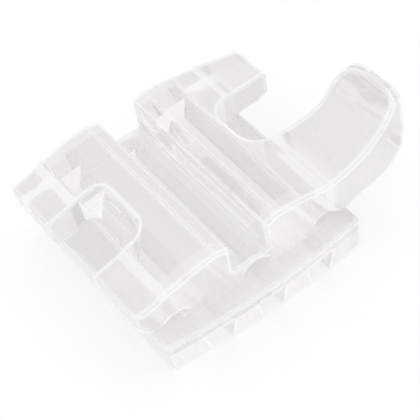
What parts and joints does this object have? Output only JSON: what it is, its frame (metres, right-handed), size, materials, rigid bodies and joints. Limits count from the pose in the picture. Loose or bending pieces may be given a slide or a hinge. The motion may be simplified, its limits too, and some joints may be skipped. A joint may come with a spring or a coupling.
{
  "type": "orthodontic bracket",
  "caption": "Clear one-piece orthodontic bracket: a grooved bonding base carries twin tie-wing rows on either side of an archwire slot, and one wing ends in a curled hook.",
  "frame": {"origin": "the point of the bonding plane straight below the middle of the archwire slot", "axes": "+X along the archwire slot towards the end with the hook, +Y across the slot towards the row with the hook, +Z away from the tooth"},
  "size_m": [0.0035, 0.0044, 0.0026],
  "materials": {
    "sapphire": "clear, polished"
  },
  "bodies": {
    "root": {"bracket_body": "sapphire"}
  },
  "joints": []
}
